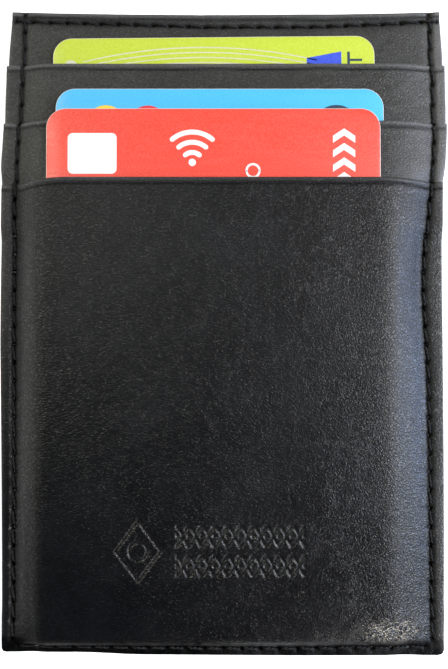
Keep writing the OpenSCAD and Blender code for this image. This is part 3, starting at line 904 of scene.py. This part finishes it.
# The other two hang behind their pockets, and are sewn to the base under their cards
for pocket in ("top_pocket", "middle_pocket"):
    node = pocket + "_lining"
    foot = box(node)[0][1]
    cloth = Sheet(node, fine=(None, (foot + 0.2, foot + 3.5, 0.2)), blur=0.2, probe=0.25, **LINING_SHAPE)
    piece = stand_for(cloth.mesh(node + "_cloth", LINING), "holder", "lining", node)
    cloth.flat_size()
    thread_low, thread_high = box(pocket + "_floor_thread")
    seam = Seam(0, middle(pocket + "_floor_thread", 1), thread_low[0], thread_high[0])
    sew(pocket + "_floor", seam.stitches(cloth.upper))

# A side seam runs over four sheets on its needle side, and along the back on its bobbin side
needle_side = {-1: [], 1: []}
for (node, _, _), sheet in zip(SIDE_STRETCHES, (front, middle_pocket, top_pocket, base)):
    for side, seam in zip((-1, 1), SEAMS[node]):
        needle_side[side] += seam.stitches(sheet.upper)
for side, word in ((-1, "left"), (1, "right")):
    sew(word + "_seam", needle_side[side])
    bobbin = Seam(1, side * SIDE_SEAM_X, SIDE_SEAM_START, SIDE_SEAM_END)
    sew(word + "_seam_bobbin", bobbin.stitches(back.lower, -1))
for name, seam, height, face in (
    ("bottom_seam", BOTTOM_SEAM, front.upper, 1), ("bottom_seam_bobbin", BOTTOM_SEAM, back.lower, -1),
    ("top_hem", HEM_SEAM, base.upper, 1), ("back_hem", HEM_SEAM, back.lower, -1)
):
    sew(name, seam.stitches(height, face))


# ---- Cards ----


def rounded_outline(width, height, radius, x=0.0, y=0.0, steps=10):
    """Points of a rounded rectangle, counter-clockwise, with its lower edge's middle at x, y."""
    points = []
    for k, (sx, sy) in enumerate(((1, 0), (1, 1), (-1, 1), (-1, 0))):
        cx = x + sx * (width / 2 - radius)
        cy = y + (height - radius if sy else radius)
        for a in np.linspace((k - 1) * math.pi / 2, k * math.pi / 2, steps + 1):
            points.append((cx + radius * math.cos(a), cy + radius * math.sin(a)))
    return np.array(points)


def at_level(outline, z):
    return np.column_stack([outline, np.full(len(outline), z)])


class Card:
    """A card in its own frame: x across it, y along the way it slides out, z out of its face.

    turn is how far it stands crooked in its pocket, in degrees, about the part of it that shows.
    """

    corner = 3.18  # its radius
    shown = 8.0  # about how much of it shows, down from its upper edge
    printed_skin = 0.16  # depth of the printed layer over the core

    def __init__(self, color, turn=0.0):
        self.node = color + "_card"
        self.body = self.node + "_body"
        self.slot = color + "_plastic"
        joint = self.node + "_slide"
        out = np.array(next(j["axis"] for j in frame["joints"] if j["name"] == joint), float)
        self.axes = np.array([(1, 0, 0), out, np.cross((1, 0, 0), out)])
        points = node_points(self.node) @ self.axes.T
        low, high = points.min(0), points.max(0)
        self.size = high - low
        self.origin = np.array([(low[0] + high[0]) / 2, low[1], low[2]])
        c, s = math.cos(math.radians(turn)), math.sin(math.radians(turn))
        self.turned = np.array([(c, s, 0), (-s, c, 0), (0, 0, 1)])
        self.pivot = np.array([0, self.size[1] - self.shown, 0])

    def place(self, points):
        points = (np.asarray(points) - self.pivot) @ self.turned + self.pivot
        return (points + self.origin) @ self.axes

    def box(self, node):
        """Corners of a CAD node in this frame."""
        points = node_points(node) @ self.axes.T - self.origin
        return points.min(0), points.max(0)

    def laminate(self, face, core):
        """The card itself: printed faces, and a core that shows at its edge."""
        width, height, thickness = self.size
        rounding, bevel = 0.08, 0.02
        half = [(0, rounding), (bevel, bevel), (rounding, 0), (self.printed_skin, 0)]
        levels = half + [(thickness - z, inset) for z, inset in reversed(half)]
        rings = []
        for z, inset in levels:
            outline = rounded_outline(width - 2 * inset, height - 2 * inset, self.corner - inset, 0, inset)
            rings.append(at_level(outline, z))
        points, faces = lofted(rings)
        edge_bands = [0] * (len(half) - 1) + [1] * len(half)
        index = [0, *np.repeat(edge_bands, len(rings[0])), 0]
        name = self.node + "_laminate"
        piece = new_mesh(name, self.place(points), faces, face, material_index=index, materials=[core])
        stand_for(shade_smooth(piece, 35), self.body, self.slot, self.node)

    def inlay(self, name, outlines, material, slot, proud, sunk):
        """Flat shapes let into the face, each from an outline of points."""
        levels = [self.size[2] + z for z in (-sunk, proud)]
        points, faces = joined(lofted([at_level(outline, z) for z in levels]) for outline in outlines)
        return stand_for(new_mesh(name, self.place(points), faces, material), self.body, slot)

    def ink(self, name, outlines, material):
        """Printed shapes on the face."""
        self.inlay(self.node + "_" + name, outlines, material, self.slot, proud=0.012, sunk=0.03)


def on_circle(x, y, radius, angles):
    return np.column_stack([x + radius * np.cos(angles), y + radius * np.sin(angles)])


def arc_band(x, y, radius, width, start, end, steps=32):
    """A band along an arc, with angles in degrees and round ends."""
    a = np.radians(np.linspace(start, end, steps))
    outer = on_circle(x, y, radius + width / 2, a)
    inner = on_circle(x, y, radius - width / 2, a)[::-1]

    def cap(angle, turn):
        angle = math.radians(angle)
        cx, cy = x + radius * math.cos(angle), y + radius * math.sin(angle)
        return on_circle(cx, cy, width / 2, angle + np.linspace(0, math.pi, 7)[1:-1] + turn)

    return np.concatenate([outer, cap(end, 0), inner, cap(start, math.pi)])


def block(left, bottom, right, top, slope=0.0, round_by=0.0):
    """A block whose right side stands slope above its left, with corners rounded if it is level."""
    if round_by:
        return rounded_outline(right - left, top - bottom, round_by, (left + right) / 2, bottom, 5)
    return [(left, bottom), (right, bottom + slope), (right, top + slope), (left, top)]


def disc(x, y, radius, steps=48):
    return on_circle(x, y, radius, np.linspace(0, 2 * math.pi, steps, endpoint=False))


def chevron(x, y, width, rise, thick):
    half = width / 2
    lower = [(x - half, y), (x, y + rise), (x + half, y)]
    return lower + [(px, py + thick) for px, py in reversed(lower)]


CORE = card_material("card_core", (0.8, 0.74, 0.72), 0.5)
YELLOW = card_material("yellow_card_face", (0.54, 0.645, 0.038))
BLUE = card_material("blue_card_face", (0.062, 0.49, 0.87))
RED = card_material("red_card_face", (0.83, 0.062, 0.034))
WHITE_INK = card_material("white_ink", (0.88, 0.88, 0.88))
SILVER_INK = card_material("silver_ink", (0.62, 0.62, 0.48))
NAVY_INK = card_material("navy_ink", (0.015, 0.045, 0.08))
COBALT_INK = card_material("cobalt_ink", (0.04, 0.09, 0.7))
GOLD_INK = card_material("gold_ink", (0.9, 0.62, 0.03))
ROSE_INK = card_material("rose_ink", (0.75, 0.03, 0.05))
GOLD = metal_material("gold_contact", (0.85, 0.62, 0.25))
GOLD_SHADE = metal_material("contact_ground", (0.3, 0.22, 0.1))


def yellow_prints(card):
    """Fine arcs with their crowns near the upper edge, a tilted block, two bars and a blank strip."""
    upper = card.size[1]
    sweep, crown = 84.0, upper - 1.75
    arcs = [arc_band(-2.4, crown - 0.85 * k - sweep, sweep, 0.2, 76.5 - k, 103.4 + 0.6 * k, 70)
            for k in range(4)]
    card.ink("arcs", arcs, SILVER_INK)
    card.ink("pale_disc", [disc(-24.0, upper - 4.8, 1.1)], SILVER_INK)
    card.ink("block", [block(15.6, upper - 7.6, 21.4, upper - 3.7, 1.05)], COBALT_INK)
    bars = [block(22.4, upper - 6.6, 22.85, upper - 2.7), block(22.85, upper - 4.3, 24.9, upper - 3.9)]
    card.ink("bars", bars, NAVY_INK)
    card.ink("strip", [block(-22, 14, 22, 23, 0, 0.6)], WHITE_INK)
    lower_arcs = [arc_band(30, -40, 70 + 1.4 * k, 0.3, 97, 128, 50) for k in range(4)]
    card.ink("lower_arcs", lower_arcs, SILVER_INK)


def blue_prints(card):
    """Loose dots all over the card, of which the uppermost show."""
    upper = card.size[1]
    card.ink("gold_dots", [disc(-18.7, upper - 6.05, 3.3), disc(12, 52, 2.4), disc(-6, 24, 3.0)], GOLD_INK)
    card.ink("rose_dots", [disc(-11.8, upper - 6.1, 3.3), disc(-19, 47, 2.0), disc(18, 30, 2.8)], ROSE_INK)
    card.ink("navy_dots", [disc(19.2, upper - 6.7, 4.0), disc(-3, 62, 2.2), disc(-17, 14, 2.4)], NAVY_INK)
    card.ink("white_dots", [disc(3.5, upper - 9.6, 1.6), disc(2, 40, 3.2), disc(10, 12, 2.0)], WHITE_INK)


def red_prints(card):
    """A white panel, a fan of arcs, a small ring, a row of chevrons and two lines low down."""
    upper = card.size[1]
    panel = [block(-23.5, upper - 10.6, -15.6, upper - 4.0, 0, 0.8),
             block(-23.5, upper - 15, -15.6, upper - 11.1, 0, 0.3)]
    card.ink("panel", panel, WHITE_INK)
    waves = [arc_band(-3.4, upper - 8.9, r, 0.8, 50, 130, 24) for r in (1.75, 3.4, 5.05)]
    card.ink("waves", [*waves, disc(-3.4, upper - 8.75, 0.6, 24)], WHITE_INK)
    card.ink("ring", [arc_band(6.4, upper - 10.1, 1.05, 0.36, a, a + 180, 24) for a in (0, 180)], WHITE_INK)
    chevrons = [chevron(21.1, upper - 5.6 - 2.35 * k, 3.6, 1.2, 1.15) for k in range(4)]
    card.ink("chevrons", chevrons, WHITE_INK)
    card.ink("foot_band", [block(-21, 8, 21, 9, 0, 0.4), block(-21, 11, 4, 12, 0, 0.4)], WHITE_INK)


def contact_plate(card, node):
    """A dark ground, and on it a long pad between two columns of three."""
    low, high = card.box(node)
    width, height = (high - low)[:2]
    x, y = (low[0] + high[0]) / 2, low[1]
    outline = rounded_outline(width, height, 1.2, x, y)
    ground = card.inlay("contact_ground", [outline], GOLD_SHADE, "contact_plate", proud=0.004, sunk=0.1)
    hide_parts(node)
    margin, gap = 0.25, 0.28
    pads = [rounded_outline(width * 0.26, height - 2 * margin, 0.5, x, y + margin, 5)]
    pad_width, pad_height = width * 0.34, (height - 2 * margin - 2 * gap) / 3
    for side in (-1, 1):
        pad_x = x + side * (width / 2 - margin - pad_width / 2)
        for row in range(3):
            pad_y = y + margin + row * (pad_height + gap)
            pads.append(rounded_outline(pad_width, pad_height, 0.45, pad_x, pad_y, 5))
    card.inlay("contact_pads", pads, GOLD, "contact_plate", proud=0.02, sunk=0.1)


yellow_card = Card("yellow", 0.55)
yellow_card.laminate(YELLOW, CORE)
yellow_prints(yellow_card)

blue_card = Card("blue")
blue_card.laminate(BLUE, CORE)
blue_prints(blue_card)

red_card = Card("red")
red_card.laminate(RED, CORE)
red_prints(red_card)
contact_plate(red_card, "red_card_chip")


# ---- Floor, lights and camera ----

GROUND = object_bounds()[0][2] / MM
FLOOR_REACH = 900
corners = [(x * FLOOR_REACH, y * FLOOR_REACH, GROUND) for x, y in ((-1, -1), (1, -1), (1, 1), (-1, 1))]
new_mesh("floor", corners, [(0, 1, 2, 3)], floor_material())


def area_light(name, place, size, power, color):
    """A rectangular lamp that points at the middle of the part."""
    data = bpy.data.lights.new(name, "AREA")
    data.shape = "RECTANGLE"
    data.size, data.size_y = size[0] * MM, size[1] * MM
    data.energy, data.color = power, color
    light = bpy.data.objects.new(name, data)
    light.location = Vector(place) * MM
    light.rotation_euler = (-Vector(place)).to_track_quat("-Z", "Y").to_euler()
    bpy.context.scene.collection.objects.link(light)


LIGHTS = [  # name, place, size, power in watts and colour
    ("main_softbox", (520, 80, 480), (300, 500), 4.8, (1, 0.95, 0.88)),
    ("lower_right_softbox", (450, -150, 420), (250, 250), 1.5, (0.7, 0.82, 1)),
    ("right_window", (700, 0, 110), (220, 500), 5.0, (0.36, 0.56, 1)),
    ("upper_left_softbox", (-420, 300, 650), (250, 250), 2.0, (1, 1, 0.86)),
    ("left_fill", (-620, 60, 400), (400, 600), 0.85, (1, 1, 0.86)),
    ("warm_lamp", (250, -460, 400), (40, 40), 0.5, (1, 0.9, 0.78)),
]
for light in LIGHTS:
    area_light(*light)


def studio_world():
    """A pale wall all round, low enough to stay out of what the front reflects."""
    world = bpy.data.worlds.new("studio")
    bpy.context.scene.world = world
    world.use_nodes = True
    nodes, links = world.node_tree.nodes, world.node_tree.links
    direction = nodes.new("ShaderNodeTexCoord")
    axes = nodes.new("ShaderNodeSeparateXYZ")
    wall = nodes.new("ShaderNodeMapRange")
    wall.interpolation_type = "SMOOTHSTEP"
    for socket, value in {"From Min": 0.22, "From Max": 0.6, "To Min": 0.7, "To Max": 0.01}.items():
        wall.inputs[socket].default_value = value
    links.new(direction.outputs["Generated"], axes.inputs[0])
    links.new(axes.outputs[2], wall.inputs["Value"])
    background = nodes["Background"].inputs
    links.new(wall.outputs[0], background["Strength"])
    background["Color"].default_value = (1, 1, 1, 1)


TARGET = Vector((0.12, -1.5, 0)) * MM
DISTANCE, TILT = 110 * MM, math.radians(1.8)
SENSOR = 36  # along the picture's height
LENS = 34.76233


def add_camera():
    """A camera above the front, a little towards its foot."""
    camera = bpy.data.objects.new("camera", bpy.data.cameras.new("camera"))
    camera.data.sensor_width = SENSOR
    camera.data.lens = LENS
    camera.data.clip_start = 0.01
    camera.location = TARGET + DISTANCE * Vector((0, -math.sin(TILT), math.cos(TILT)))
    camera.rotation_euler = (TARGET - camera.location).to_track_quat("-Z", "Y").to_euler()
    bpy.context.scene.collection.objects.link(camera)
    bpy.context.scene.camera = camera


studio_world()
add_camera()
bpy.context.scene.view_settings.view_transform = "Standard"
